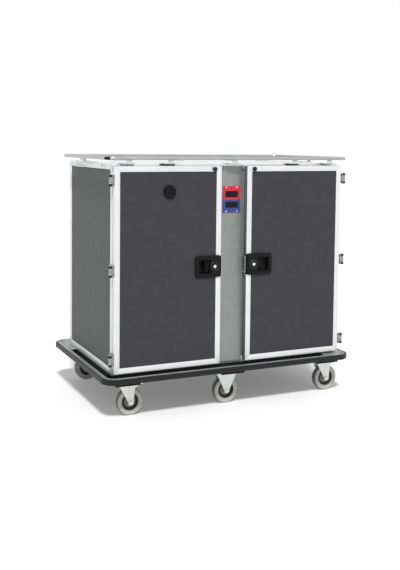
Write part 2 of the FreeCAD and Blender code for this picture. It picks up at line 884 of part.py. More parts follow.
class Door:
    """The places of one door. side is -1 for the left door, whose hinges are on the left."""

    def __init__(self, name, side):
        self.name = name
        self.side = side
        self.hinge_edge = half_length * side
        self.free_edge = free_edge_x * side
        self.hinge_x = (half_length + d.hinge_offset) * side

    def from_free_edge(self, distance):
        return self.free_edge + distance * self.side

    def from_hinge_edge(self, distance):
        return self.hinge_edge - distance * self.side


def latch_recess(door, name):
    """The space that the latch housing fills in the door."""
    reach = d.housing_width - d.housing_lip
    half = d.housing_height / 2 - d.housing_lip
    return block(name, (door.free_edge, door.from_free_edge(reach)), (door_front, housing_back),
                 (latch_middle - half, latch_middle + half))


def make_door_frame(door):
    """Four mitred bars. The one at the free edge is notched for the latch housing."""
    width = d.door_frame_width
    outer = ((door.hinge_edge, door_bottom), (door.free_edge, door_bottom),
             (door.free_edge, door_top), (door.hinge_edge, door_top))
    inner = ((door.from_hinge_edge(width), door_bottom + width),
             (door.from_free_edge(width), door_bottom + width),
             (door.from_free_edge(width), door_top - width), (door.from_hinge_edge(width), door_top - width))
    bars = []
    for first in range(4):
        last = (first + 1) % 4
        corners = [outer[first], outer[last], inner[last], inner[first]]
        bar = slab("door_bar", "Y", corners, (door_front, door_back))
        bars.append(bar)
    free_bar = 1
    bars[free_bar] = cut("notched_bar", bars[free_bar], latch_recess(door, "bar_notch"))
    node(f"door_frame_{door.name}", group("door_frame_group", bars))


def make_door_panel(door):
    width = d.door_frame_width
    panel = block("door_board", (door.from_hinge_edge(width), door.from_free_edge(width)),
                  (door_front + d.door_panel_recess, door_back), (door_bottom + width, door_top - width))
    tools = [latch_recess(door, "panel_recess_cut")]
    if door.name == "left":
        front = door_front + d.door_panel_recess
        tools.append(rod("vent_bore", d.vent_spindle_diameter + d.running_clearance * 2, vent_centre(door),
                         (front, front + d.vent_spindle_length), "Y"))
    node(f"door_panel_{door.name}", cut("door_board_cut", panel, *tools))


def make_gasket(door):
    spans = []
    for inset in (d.gasket_inset, d.gasket_inset + d.gasket_width):
        spans.append(block("gasket_span", (door.from_hinge_edge(inset), door.from_free_edge(inset)),
                           (door_back, cabinet_front - d.seat_clearance),
                           (door_bottom + inset, door_top - inset)))
    node(f"door_gasket_{door.name}", cut("gasket_ring", *spans))


def lever_pivot(door):
    """The upright pin of the pull lever, beside the cup."""
    cup_start = d.housing_width - d.cup_inset - d.cup_width
    across = door.from_free_edge(cup_start - d.lever_hub_diameter / 2)
    depth = door_front - d.housing_proud + d.lever_depth + d.lever_thickness / 2
    return across, depth


def make_latch_housing(door):
    front = door_front - d.housing_proud
    far = door.from_free_edge(d.housing_width)
    half = d.housing_height / 2
    corners = [(door.free_edge, latch_middle - half), (far, latch_middle - half),
               (far, latch_middle + half), (door.free_edge, latch_middle + half)]
    rim = slab("housing_rim", "Y", corners, (front, door_front))
    round_edges(rim, d.housing_corner_radius, lambda edge: runs_along(edge, 1))
    round_edges(rim, d.housing_edge_radius, lambda edge: True)
    boss_centre = (door.from_free_edge(d.lock_inset), latch_middle)
    boss = rod("lock_boss", d.lock_boss_diameter, boss_centre, (front - d.lock_boss_height, front), "Y")
    solid = fuse("housing_solid", rim, latch_recess(door, "housing_body"), boss)
    cup_far = door.from_free_edge(d.housing_width - d.cup_inset)
    cup_near = door.from_free_edge(d.housing_width - d.cup_inset - d.cup_width)
    cup_height = (latch_middle - d.cup_height / 2, latch_middle + d.cup_height / 2)
    floor = housing_back - d.tube_wall
    cup = block("cup", (cup_near, cup_far), (front, floor), cup_height)
    pocket = block("lever_pocket", (door.from_free_edge(d.cup_inset), cup_far),
                   (front + d.housing_wall, floor), cup_height)
    bore = rod("lock_bore", d.lock_diameter + d.running_clearance * 2, boss_centre,
               (front - d.lock_boss_height, front + d.housing_wall), "Y")
    pin = rod("lever_pin", d.lever_pin_diameter, lever_pivot(door), cup_height)
    node(f"latch_housing_{door.name}", fuse("housing", cut("housing_shell", solid, cup, pocket, bore), pin))


def make_latch_lever(door):
    """The pull plate in the cup, its hub on the pin and the tail that works the latch."""
    pivot_x, pivot_y = lever_pivot(door)
    thickness = (pivot_y - d.lever_thickness / 2, pivot_y + d.lever_thickness / 2)
    half = d.cup_height / 2 - d.lever_end_gap
    height = (latch_middle - half, latch_middle + half)
    grip = block("grip", (pivot_x, pivot_x + d.lever_grip_reach * door.side), thickness, height)
    hub = rod("lever_hub", d.lever_hub_diameter, (pivot_x, pivot_y), height)
    tail_half = d.lever_tail_height / 2
    tail = block("lever_tail", (pivot_x, door.from_free_edge(d.cup_inset + d.lever_tail_gap)), thickness,
                 (latch_middle - tail_half, latch_middle + tail_half))
    bore = rod("lever_bore", d.lever_pin_diameter + d.running_clearance * 2, (pivot_x, pivot_y), height)
    node(f"latch_lever_{door.name}", cut("lever", fuse("lever_solid", grip, hub, tail), bore))


def make_lock_cylinder(door):
    front = door_front - d.housing_proud - d.lock_boss_height - d.lock_proud
    centre = (door.from_free_edge(d.lock_inset), latch_middle)
    plug = rod("lock_plug", d.lock_diameter, centre, (front, front + d.lock_length), "Y")
    slot_half = d.key_slot_width / 2
    slot = block("key_slot", (centre[0] - slot_half, centre[0] + slot_half),
                 (front, front + d.key_slot_depth),
                 (latch_middle - d.key_slot_height / 2, latch_middle + d.key_slot_height / 2))
    node(f"lock_cylinder_{door.name}", cut("lock_cylinder", plug, slot))


def hinge_heights():
    return [door_bottom + height for height in (d.hinge_low, d.latch_height, d.hinge_high)]


def knuckle_spans(middle, of_door):
    """The door's knuckle is the middle third, the cabinet's are the other two."""
    half = d.hinge_height / 2
    third = d.hinge_height / 6
    if of_door:
        return [(middle - third, middle + third)]
    gap = d.seat_clearance
    return [(middle - half, middle - third - gap), (middle + third + gap, middle + half)]


def knuckles(door, middle, of_door):
    """The barrel rings of one leaf and the bore through them."""
    centre = (door.hinge_x, hinge_y)
    rings = [rod("knuckle", d.knuckle_diameter, centre, span) for span in knuckle_spans(middle, of_door)]
    bore = rod("hinge_bore", d.hinge_pin_diameter + d.running_clearance * 2, centre,
               (middle - d.hinge_height / 2, middle + d.hinge_height / 2))
    return rings, bore


def make_door_leaves(door):
    leaves = []
    for middle in hinge_heights():
        half = d.hinge_height / 2
        outside = door.hinge_edge + d.leaf_thickness * door.side
        plate = block("door_leaf_plate", (door.hinge_edge, outside), (hinge_y, door_back - d.leaf_thickness),
                      (middle - half, middle + half))
        rings, bore = knuckles(door, middle, True)
        arm = block("door_leaf_arm", (door.hinge_edge, door.hinge_x),
                    (hinge_y - d.leaf_thickness, hinge_y + d.leaf_thickness), knuckle_spans(middle, True)[0])
        trimmed_arm = cut("door_arm_trim", arm, block("arm_trim", (door.hinge_edge, outside),
                          (hinge_y - d.leaf_thickness * 2, hinge_y), (middle - half, middle + half)))
        leaves.append(cut("door_leaf", fuse("door_leaf_solid", plate, trimmed_arm, *rings), bore))
    node(f"door_hinge_leaves_{door.name}", group("door_hinge_leaves_group", leaves))


def make_cabinet_leaves(doors):
    """Cranked leaves on the corner posts, with their pins."""
    pieces = []
    for door in doors:
        for middle in hinge_heights():
            half = d.hinge_height / 2
            thick = d.leaf_thickness
            outside = half_length + thick
            plate = block("cabinet_leaf_plate", (half_length * door.side, outside * door.side),
                          (cabinet_front + thick, cabinet_front + thick + d.leaf_width),
                          (middle - half, middle + half))
            arm_out = half_length + thick * 3
            bridge = block("leaf_bridge", (outside * door.side, arm_out * door.side),
                           (cabinet_front + thick, cabinet_front + thick * 3), (middle - half, middle + half))
            rings, bore = knuckles(door, middle, False)
            arms = []
            for span in knuckle_spans(middle, False):
                arms.append(block("leaf_arm", ((outside + thick) * door.side, arm_out * door.side),
                                  (hinge_y, cabinet_front + thick * 3), span))
                arms.append(block("leaf_foot", ((outside + thick) * door.side, door.hinge_x),
                                  (hinge_y - thick, hinge_y + thick), span))
            pieces.append(cut("cabinet_leaf", fuse("cabinet_leaf_solid", plate, bridge, *arms, *rings), bore))
            reach = half + thick / 2
            pieces.append(rod("hinge_pin", d.hinge_pin_diameter, (door.hinge_x, hinge_y),
                              (middle - reach, middle + reach)))
    node("cabinet_hinge_leaves", group("cabinet_hinge_leaves_group", pieces))


def make_stud(door):
    centre = (door.from_free_edge(d.stud_inset), door_top - d.stud_drop)
    stud = rod("stud", d.stud_diameter, centre, (door_front - d.stud_length, door_front), "Y")
    node(f"door_stud_{door.name}", stud)


def vent_centre(door):
    return (door.free_edge + door.hinge_edge) / 2, door_bottom + d.vent_height


def make_vent_knob(door):
    """A shutter knob on the left door, turned by its grip bar."""
    centre = vent_centre(door)
    panel_front = door_front + d.door_panel_recess
    back = panel_front - d.seat_clearance
    front = back - d.vent_thickness - d.door_panel_recess
    disc = rod("vent_disc", d.vent_diameter, centre, (front, back), "Y")
    spindle = rod("vent_spindle", d.vent_spindle_diameter, centre,
                  (back, panel_front + d.vent_spindle_length - d.seat_clearance), "Y")
    grip_reach = d.vent_grip_length / 2
    grip = block("vent_grip", (centre[0] - grip_reach, centre[0] + grip_reach),
                 (front - d.vent_grip_height, front),
                 (centre[1] - d.vent_grip_width / 2, centre[1] + d.vent_grip_width / 2))
    node("vent_knob", fuse("vent_knob_solid", disc, spindle, grip))


def make_keepers():
    """A steel keeper on each side of the column, opposite the latch."""
    keepers = []
    inside = partition_inner
    for side in (-1, 1):
        across = (inside * side, (inside + d.keeper_thickness) * side)
        half = d.keeper_height / 2
        plate = block("keeper_plate", across, (cabinet_front - d.keeper_reach, cabinet_front),
                      (latch_middle - half, latch_middle + half))
        rim = d.keeper_rim
        window = block("keeper_window", across,
                       (cabinet_front - d.keeper_reach + rim, cabinet_front - rim),
                       (latch_middle - half + rim, latch_middle + half - rim))
        keepers.append(cut("keeper", plate, window))
    node("latch_keepers", group("latch_keepers_group", keepers))


def make_catches(doors):
    """Hold-open catches on the side rails, where each door's stud arrives, and a rubber buffer."""
    pieces = []
    for door in doors:
        middle = cabinet_top - d.catch_drop
        half = d.catch_height / 2
        stud_reach = door_width - d.stud_inset + d.hinge_offset
        centre = hinge_y + stud_reach
        start = centre - d.catch_length / 2
        end = centre + d.catch_length / 2
        across = (door.hinge_edge, door.hinge_edge + d.catch_thickness * door.side)
        pieces.append(block("catch", across, (start + d.catch_end_length, end - d.catch_end_length),
                            (middle - half, middle + half)))
        for ends in ((start, start + d.catch_end_length), (end - d.catch_end_length, end)):
            pieces.append(block("catch_end", across, ends, (middle - half, middle + half)))
        place_y = cabinet_front - door_stand + d.buffer_place - d.buffer_length
        pieces.append(block("buffer", (door.hinge_edge, door.hinge_edge + d.buffer_thickness * door.side),
                            (place_y, place_y + d.buffer_length),
                            (cabinet_top - d.buffer_height, cabinet_top - d.seat_clearance)))
    node("door_catches", group("door_catches_group", pieces))


def make_doors():
    doors = [Door(name, side) for name, side in SIDES.items()]
    for door in doors:
        make_door_frame(door)
        make_door_panel(door)
        make_gasket(door)
        make_latch_housing(door)
        make_latch_lever(door)
        make_lock_cylinder(door)
        make_door_leaves(door)
        make_stud(door)
    make_vent_knob(doors[0])
    make_cabinet_leaves(doors)
    make_keepers()
    make_catches(doors)


# ---- gallery rail -----------------------------------------------------------------------

rail_x = half_length + d.rail_side_overhang - d.rail_diameter / 2
rail_half_depth = half_depth + d.rail_front_overhang - d.rail_diameter / 2
rail_height = cabinet_top + d.rail_rise


def make_rail():
    """A tube all round the top, from four straight lengths and four elbows."""
    corner = d.rail_corner_radius
    straight_half = rail_half_depth - corner
    pieces = []
    for side in (-1, 1):
        centre = (cabinet_middle + rail_half_depth * side, rail_height)
        pieces.append(rod("rail_long", d.rail_diameter, centre,
                          (-(rail_x - corner), rail_x - corner), "X"))
        pieces.append(rod("rail_short", d.rail_diameter, (rail_x * side, rail_height),
                          (cabinet_middle - straight_half, cabinet_middle + straight_half), "Y"))
    for turn, (along_x, along_y) in enumerate(((1, 1), (-1, 1), (-1, -1), (1, -1))):
        elbow = doc.addObject("Part::Torus", "rail_elbow")
        bind(elbow, "Radius1", corner)
        bind(elbow, "Radius2", d.rail_diameter / 2)
        elbow.Angle3 = 90
        elbow.Placement = FreeCAD.Placement(Vector(), FreeCAD.Rotation(Vector(0, 0, 1), 90 * turn))
        place(elbow, (rail_x - corner) * along_x, cabinet_middle + straight_half * along_y, rail_height)
        pieces.append(elbow)
    node("gallery_rail", group("gallery_rail_group", pieces))


def bracket(along, along_centre, middle, rail_place, side, inside):
    """A foot on the top frame with a post that cradles the rail. along is the rail's axis."""
    thick = d.bracket_thickness
    foot_span = (along_centre - d.bracket_length / 2, along_centre + d.bracket_length / 2)
    post_span = (along_centre - d.bracket_post_width / 2, along_centre + d.bracket_post_width / 2)
    outer_edge = middle + (rail_place + thick / 2) * side
    foot_across = (middle + inside * side, outer_edge)
    post_across = (middle + (rail_place - thick / 2) * side, outer_edge)
    foot_height = (cabinet_top, cabinet_top + thick)
    post_height = (cabinet_top, rail_height)
    if along == "X":
        foot = block("bracket_foot", foot_span, foot_across, foot_height)
        post = block("bracket_post", post_span, post_across, post_height)
    else:
        foot = block("bracket_foot", foot_across, foot_span, foot_height)
        post = block("bracket_post", post_across, post_span, post_height)
    centre = (middle + rail_place * side, rail_height)
    cradle = rod("bracket_cradle", d.rail_diameter, centre, foot_span, along)
    return cut("bracket", fuse("bracket_solid", foot, post), cradle)


def make_brackets():
    brackets = []
    # The feet rest on the frame rails and leave the top panel free.
    front_inside = {-1: cabinet_middle - cabinet_front - d.bracket_foot,
                    1: cabinet_back - cabinet_middle - d.bracket_foot}
    side_inside = half_length - d.bracket_foot
    stations = [as_length(0)]
    for side in (-1, 1):
        stations.append(d.bracket_spacing * side)
        stations.append(d.bracket_end_place * side)
    for side in (-1, 1):
        for station in stations:
            brackets.append(bracket("X", station, cabinet_middle, rail_half_depth, side, front_inside[side]))
        brackets.append(bracket("Y", cabinet_middle, as_length(0), rail_x, side, side_inside))
    node("rail_brackets", group("rail_brackets_group", brackets))


# ---- build, test and write --------------------------------------------------------------

make_frame_profiles()
make_panels()
make_partitions()
make_column_cover()
make_display()
make_racks()
make_heating_element()
make_eutectic_plate()
make_control_box()
make_power_inlet()
make_deck_ring()
make_bumper()
make_base_frame()
make_casters()
make_doors()
make_rail()
make_brackets()
doc.recompute()

for thing in doc.Objects:
    if {"Invalid", "Error"} & set(thing.State):
        raise RuntimeError(f"{thing.Label} could not be built")
for part in NODES:
    if part.Shape.isNull() or not part.Shape.isValid():
        raise RuntimeError(f"{part.Label} has no valid shape")

os.makedirs("parts", exist_ok=True)
for part in NODES:
    part.Shape.exportStep(f"parts/{part.Label}.step")
    print(part.Label, len(part.Shape.Solids), round(part.Shape.Volume / 1000), "cm3")
print(len(NODES), "nodes")
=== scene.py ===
import json
from math import cos, pi, radians, sin

import bmesh
import bpy
from mathutils import Matrix, Vector


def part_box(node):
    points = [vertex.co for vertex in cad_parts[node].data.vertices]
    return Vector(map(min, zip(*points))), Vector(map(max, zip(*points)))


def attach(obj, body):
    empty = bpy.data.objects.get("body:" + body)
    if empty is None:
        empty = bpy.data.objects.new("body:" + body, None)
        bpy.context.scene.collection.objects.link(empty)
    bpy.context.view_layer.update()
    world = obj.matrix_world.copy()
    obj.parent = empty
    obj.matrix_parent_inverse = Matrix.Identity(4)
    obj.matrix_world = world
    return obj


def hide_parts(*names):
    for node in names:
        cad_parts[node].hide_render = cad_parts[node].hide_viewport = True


# Looks of the enclosed meal tray cart, in the frame of its solids: +Z is up and the doors look towards -Y.
# Sizes and places are worked out in millimetres, and MM turns them to the frame's metres.

MM = 0.001
DOOR_SIDES = {"left": -1, "right": 1}

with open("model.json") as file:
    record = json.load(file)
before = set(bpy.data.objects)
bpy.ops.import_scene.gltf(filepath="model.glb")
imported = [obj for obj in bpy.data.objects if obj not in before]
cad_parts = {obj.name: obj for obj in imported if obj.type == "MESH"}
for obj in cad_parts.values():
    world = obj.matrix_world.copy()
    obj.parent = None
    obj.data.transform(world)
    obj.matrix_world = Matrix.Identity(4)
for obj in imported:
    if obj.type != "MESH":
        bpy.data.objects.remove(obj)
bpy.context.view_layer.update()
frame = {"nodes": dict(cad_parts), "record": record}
nodes = frame["nodes"]
behaviour = frame["record"]["behaviour"]
node_body = {member: body for body, members in behaviour["bodies"].items() for member in members}
joint_place = {joint["name"]: [value / MM for value in joint["pos_m"]] for joint in behaviour["joints"]}


# ---- materials ------------------------------------------------------------------------

# Noise keeps mostly between these two values.
NOISE_RANGE = {"From Min": 0.3, "From Max": 0.7}
# Patches of a lighter or darker tone are this many grains wide.
PATCH_GRAINS = 60
EVEN = (1, 1, 1)
WHITE = (1, 1, 1, 1)


def linear(hex_colour):
    """An sRGB hex value as linear red, green, blue and alpha."""
    channels = []
    for start in (1, 3, 5):
        value = int(hex_colour[start:start + 2], 16) / 255
        channels.append(value / 12.92 if value <= 0.04045 else ((value + 0.055) / 1.055) ** 2.4)
    return (*channels, 1.0)


def add_node(owner, kind, inputs=None, **settings):
    """Adds one node to a material or world. inputs holds values or output sockets by input name or number."""
    made = owner.node_tree.nodes.new(kind)
    for name, value in settings.items():
        setattr(made, name, value)
    for socket, value in (inputs or {}).items():
        if isinstance(value, bpy.types.NodeSocket):
            owner.node_tree.links.new(value, made.inputs[socket])
        else:
            made.inputs[socket].default_value = value
    return made


def start_material(name, **values):
    """A material whose shader has these values, with the shader and the place on the object."""
    material = bpy.data.materials.new(name)
    material.use_nodes = True
    shader = material.node_tree.nodes["Principled BSDF"]
    for socket, value in values.items():
        shader.inputs[socket.replace("_", " ")].default_value = value
    place = add_node(material, "ShaderNodeTexCoord").outputs["Object"]
    return material, shader, place


def finish_material(material, shader, **outputs):
    """Links output sockets to the shader's inputs."""
    for socket, value in outputs.items():
        material.node_tree.links.new(value, shader.inputs[socket.replace("_", " ")])
    return material


def grain(material, place, grain_mm, stretch=EVEN, detail=3.0):
    """A pattern with cells of a real size, drawn out along the axes where stretch is under 1."""
    drawn_out = add_node(material, "ShaderNodeMapping", {"Vector": place, "Scale": stretch})
    noise = add_node(material, "ShaderNodeTexNoise",
                     {"Vector": drawn_out.outputs["Vector"], "Scale": 1 / (grain_mm * MM), "Detail": detail})
    return noise.outputs["Fac"]


def surface(name, low, high, roughness, grain_mm, depth_mm, stretch=EVEN, **values):
    """A material whose colour, roughness and height follow one grain of a real size.

    low and high are its darkest and lightest colours, and roughness is its range.
    """
    material, shader, place = start_material(name, **values)
    fine = grain(material, place, grain_mm, stretch)
    broad = grain(material, place, grain_mm * PATCH_GRAINS, detail=2.0)
    both = add_node(material, "ShaderNodeMath", {0: fine, 1: broad}, operation="ADD").outputs[0]
    half = add_node(material, "ShaderNodeMath", {0: both, 1: 0.5}, operation="MULTIPLY").outputs[0]
    tone = add_node(material, "ShaderNodeMapRange", {"Value": half, **NOISE_RANGE}).outputs["Result"]
    colour = add_node(material, "ShaderNodeMix", {0: tone, 6: linear(low), 7: linear(high)}, data_type="RGBA")
    smoothest, roughest = roughness
    rough = add_node(material, "ShaderNodeMapRange",
                     {"Value": fine, **NOISE_RANGE, "To Min": smoothest, "To Max": roughest})
    bump = add_node(material, "ShaderNodeBump", {"Height": fine, "Distance": depth_mm * MM, "Strength": 1.0})
    return finish_material(material, shader, Base_Color=colour.outputs[2], Roughness=rough.outputs["Result"],
                           Normal=bump.outputs["Normal"])


# The real lines and grains are a few tenths of a millimetre wide or finer. They are drawn 0.6 to 2.5 mm wide,
# which is as fine as shows in the render.

# Anodised aluminium extrusion: pale and satin, with faint die lines along the upright and the level bars.
anodised = {"low": "#dadbdc", "high": "#e6e6e7", "roughness": (0.36, 0.48), "grain_mm": 1.2, "depth_mm": 0.01,
            "Metallic": 0.55}
anodised_upright = surface("anodised_extrusion_upright", stretch=(1, 1, 0.02), **anodised)
anodised_across = surface("anodised_extrusion_across", stretch=(0.02, 1, 1), **anodised)
# Drawn aluminium tube: a mid grey shine with lines along the tube.
drawn_tube = surface("drawn_aluminium_tube", "#a6a7a9", "#b4b5b6", roughness=(0.28, 0.4), grain_mm=1.5,
                     depth_mm=0.01, stretch=(0.05, 0.3, 1), Metallic=0.8)
# Mill-finish aluminium section: greyer and duller than the anodised frame.
mill_section = surface("mill_aluminium_section", "#8a8b8b", "#9a9b9b", roughness=(0.4, 0.55), grain_mm=1.5,
                       depth_mm=0.02, stretch=(0.05, 0.3, 1), Metallic=0.5)
# High-pressure laminate on the doors: slate, with a dense fine pebble that scatters the light evenly.
slate_laminate = surface("slate_pressed_laminate", "#37363c", "#3f3e44", roughness=(0.5, 0.64), grain_mm=0.9,
                         depth_mm=0.03, Specular_IOR_Level=0.15)
# The same laminate on the side and back walls: a grey that leans to green, painted lighter than on the doors
# as painted light for the stronger light that falls on the side walls.
side_laminate_painted_light = surface("grey_laminate_painted_light", "#515654", "#5a5e5c", roughness=(0.5, 0.64), grain_mm=0.9,
                        depth_mm=0.03, Specular_IOR_Level=0.15)
# Liner laminate inside the bays: pale and smooth, with little grain.
liner_laminate = surface("pale_liner_laminate", "#c4c6c7", "#cfd1d1", roughness=(0.4, 0.5), grain_mm=0.9,
                         depth_mm=0.01)
# Brushed stainless sheet on the column: mid grey with upright scratches.
brushed_sheet = surface("brushed_stainless_sheet", "#858686", "#929393", roughness=(0.38, 0.52), grain_mm=0.7,
                        depth_mm=0.01, stretch=(1, 1, 0.01), Metallic=0.6)
# Folded stainless sheet on the racks, heater and keepers: brighter, with lines from front to back.
folded_stainless = surface("folded_stainless_sheet", "#a9abac", "#bbbdbe", roughness=(0.3, 0.42),
                           grain_mm=0.8, depth_mm=0.01, stretch=(1, 0.02, 1), Metallic=0.85)
# Satin stainless on the hinge leaves: soft upright lines.
satin_stainless = surface("satin_stainless_leaf", "#919293", "#a5a6a7", roughness=(0.3, 0.42), grain_mm=0.6,
                          depth_mm=0.01, stretch=(1, 1, 0.05), Metallic=0.8)
# Bright zinc plating on pressed steel: nearly white, a little green, softly spangled.
zinc_plating = surface("bright_zinc_plating", "#d9dfdc", "#e8edea", roughness=(0.36, 0.5), grain_mm=2.5,
                       depth_mm=0.01, Metallic=0.45)
# Glass-filled nylon from a spark-eroded mould: black with a fine matt grain.
black_nylon = surface("moulded_black_nylon", "#0a0a0b", "#111113", roughness=(0.38, 0.52), grain_mm=0.8,
                      depth_mm=0.04, Specular_IOR_Level=0.15)
# The same nylon on the pull levers: polished by hands, and painted darker as painted shade down in its cup.
lever_nylon_shade = surface("lever_nylon_painted_shade", "#050506", "#0a0a0b", roughness=(0.3, 0.42), grain_mm=0.8,
                      depth_mm=0.03, Specular_IOR_Level=0.12)
# The same nylon on the collars round the keys: glossier, from a polished part of the mould, and painted a
# lighter grey as a painted highlight.
collar_nylon_highlight = surface("collar_nylon_painted_highlight", "#161618", "#1f1f22", roughness=(0.22, 0.32), grain_mm=0.8,
                       depth_mm=0.01, Specular_IOR_Level=0.6)
# Moulded nylon of the rail brackets: light grey and matt.
bracket_nylon = surface("moulded_bracket_nylon", "#b6b8b8", "#c4c6c6", roughness=(0.42, 0.56), grain_mm=0.8,
                        depth_mm=0.03)
# Moulded nylon of the door catches: off-white and matt.
pale_nylon = surface("moulded_pale_nylon", "#c2c2c0", "#cfcfcc", roughness=(0.42, 0.56), grain_mm=0.8,
                     depth_mm=0.03)
# Moulded nylon of the wheel rims: near black, with a low even shine.
black_rim = surface("moulded_rim_nylon_black", "#17181a", "#212224", roughness=(0.36, 0.5), grain_mm=1.0,
                    depth_mm=0.03)
# Moulded nylon of the wheel hubs: mid grey, paler than the rim round them.
hub_nylon = surface("moulded_hub_nylon_grey", "#76787a", "#8a8c8d", roughness=(0.4, 0.55), grain_mm=1.0,
                    depth_mm=0.03)
# Extruded rubber: black, slightly scuffed, with a soft shine on its crown.
black_rubber = surface("extruded_black_rubber", "#0d0d0e", "#161618", roughness=(0.42, 0.58), grain_mm=1.5,
                       depth_mm=0.05, Specular_IOR_Level=0.3, Sheen_Weight=0.04, Sheen_Roughness=0.5)
# Non-marking tyre rubber: warm pale grey and quite matt.
tyre_rubber = surface("non_marking_tyre_rubber", "#a9a7a4", "#bab8b5", roughness=(0.6, 0.75), grain_mm=1.2,
                      depth_mm=0.05)
# The tread of the same tyre: darker and duller than its sides.
tread_rubber = surface("dark_tread_rubber", "#6a6866", "#7d7b79", roughness=(0.7, 0.85), grain_mm=1.6,
                       depth_mm=0.08)
# Dark grey, very dull strip on the doors' free edges: painted shade for the shade in the gap beside the
# column.
free_edge_shade = surface("dark_strip_painted_shade", "#5f6063", "#6b6c6f", roughness=(0.75, 0.9), grain_mm=0.6,
                    depth_mm=0.05)
# Coated sheet on the top, inside the gallery rail: nearly white and satin.
top_sheet = surface("pale_coated_top_sheet", "#d6d7d8", "#e3e4e4", roughness=(0.4, 0.55), grain_mm=1.5,
                    depth_mm=0.02)
# Folds of the column's sheet: a shade darker, as painted shade for the dark gap beside the column.
return_painted_shade = surface("cover_return_painted_shade", "#6f7070", "#7b7c7c", roughness=(0.45, 0.6), grain_mm=0.7,
                        depth_mm=0.01, stretch=(1, 1, 0.01), Metallic=0.4)
# Powder coat on the base frame: black, with the fine orange peel of a baked coat.
black_powder = surface("black_powder_coat", "#131314", "#1b1b1d", roughness=(0.45, 0.6), grain_mm=1.8,
                       depth_mm=0.04)
# Nickel plating on the displays' screws: bright and smooth.
pale_screw = surface("nickel_plated_screw", "#c9c9ce", "#dcdce0", roughness=(0.2, 0.3), grain_mm=1.0,
                     depth_mm=0.0, Metallic=0.7)
# Blackened steel of the hinges' screws: dark, with a dull metal shine.
dark_screw = surface("blackened_steel_screw", "#2b2b2d", "#38383a", roughness=(0.3, 0.42), grain_mm=1.0,
                     depth_mm=0.0, Metallic=0.5)
# Chrome plating on the key cylinders: mirror bright.
chrome_plate = surface("polished_chrome_plate", "#e4e4e4", "#f2f2f2", roughness=(0.08, 0.14), grain_mm=1.0,
                       depth_mm=0.0, Metallic=1.0)
# Smoked acrylic over the two displays: almost black and smooth.
smoked_acrylic = surface("smoked_acrylic_window", "#08080b", "#0e0e12", roughness=(0.16, 0.24), grain_mm=2.0,
                         depth_mm=0.0, Specular_IOR_Level=0.2)
# Blow-moulded plastic of the cold plate: ice blue and slightly waxy.
filled_plastic = surface("blow_moulded_plastic", "#c9d3dc", "#d6dee4", roughness=(0.4, 0.5), grain_mm=1.0,
                         depth_mm=0.03)


def display_film():
    """Back-printed polyester film: even and half glossy, red over blue, split at the display's middle."""
    material, shader, place = start_material("printed_polyester_film", Roughness=0.35,
                                             Specular_IOR_Level=0.25)
    fine = grain(material, place, 1.0)
    tone = add_node(material, "ShaderNodeMapRange", {"Value": fine, **NOISE_RANGE}).outputs["Result"]
    low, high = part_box("display_plate")
    split = (low[2] + high[2]) / 2
    up = add_node(material, "ShaderNodeSeparateXYZ", {"Vector": place}).outputs["Z"]
    above = add_node(material, "ShaderNodeMath", {0: up, 1: split}, operation="GREATER_THAN").outputs[0]
    red = add_node(material, "ShaderNodeMix", {0: tone, 6: linear("#bd2a3c"), 7: linear("#c73244")},
                   data_type="RGBA")
    blue = add_node(material, "ShaderNodeMix", {0: tone, 6: linear("#394386"), 7: linear("#424c90")},
                    data_type="RGBA")
    colour = add_node(material, "ShaderNodeMix", {0: above, 6: blue.outputs[2], 7: red.outputs[2]},
                      data_type="RGBA")
    bump = add_node(material, "ShaderNodeBump", {"Height": fine, "Distance": 0.01 * MM, "Strength": 1.0})
    return finish_material(material, shader, Base_Color=colour.outputs[2], Normal=bump.outputs["Normal"])


printed_film = display_film()


# ---- dressing the solids ----------------------------------------------------------------

def pair(name):
    """The left and the right door's node of one kind."""
    return [f"{name}_{door_side}" for door_side in DOOR_SIDES]


def family(prefix):
    """All the nodes whose names begin alike."""
    return [name for name in nodes if name.startswith(prefix)]


def dress(material, *names):
    for name in names:
        node = nodes[name]
        node.data.materials.clear()
        node.data.materials.append(material)


dress(anodised_upright, "frame_profiles", *pair("door_frame"))
dress(slate_laminate, *pair("door_panel"))
dress(side_laminate_painted_light, *pair("side_panel"), "back_panel")
dress(top_sheet, "top_panel")
dress(liner_laminate, "floor_panel", "bay_partitions")
dress(brushed_sheet, "column_cover")
dress(printed_film, "display_plate")
dress(smoked_acrylic, "display_windows")
dress(folded_stainless, "tray_runners", "rack_uprights", "heating_element", "latch_keepers")
dress(filled_plastic, "eutectic_plate")
dress(black_nylon, "control_box", "power_inlet", "vent_knob", *pair("latch_housing"))
dress(lever_nylon_shade, *pair("latch_lever"))
dress(chrome_plate, *pair("lock_cylinder"))
dress(satin_stainless, "cabinet_hinge_leaves", *pair("door_hinge_leaves"))
dress(black_rubber, "rubber_bumper", *pair("door_gasket"), *pair("door_stud"))
dress(mill_section, "deck_ring")
dress(black_powder, "base_frame")
dress(zinc_plating, "swivel_top_plates", "fixed_caster_forks", "caster_bolts", *family("swivel_fork_"))
dress(black_rim, *family("wheel_rim_"))
dress(tyre_rubber, *family("tyre_"))
dress(pale_nylon, "door_catches")
dress(drawn_tube, "gallery_rail")
dress(bracket_nylon, "rail_brackets")


# ---- shaping ------------------------------------------------------------------------------

# Edges that turn more than this are shaded as edges, and edges of a solid past the second are eased.
SHADED_ANGLE = radians(32)
EASED_ANGLE = radians(35)


def soften(shape, edges, width_mm):
    bmesh.ops.bevel(shape, geom=list(edges), offset=width_mm * MM, offset_type="OFFSET", segments=2,
                    profile=0.5, affect="EDGES", clamp_overlap=True, material=-1)


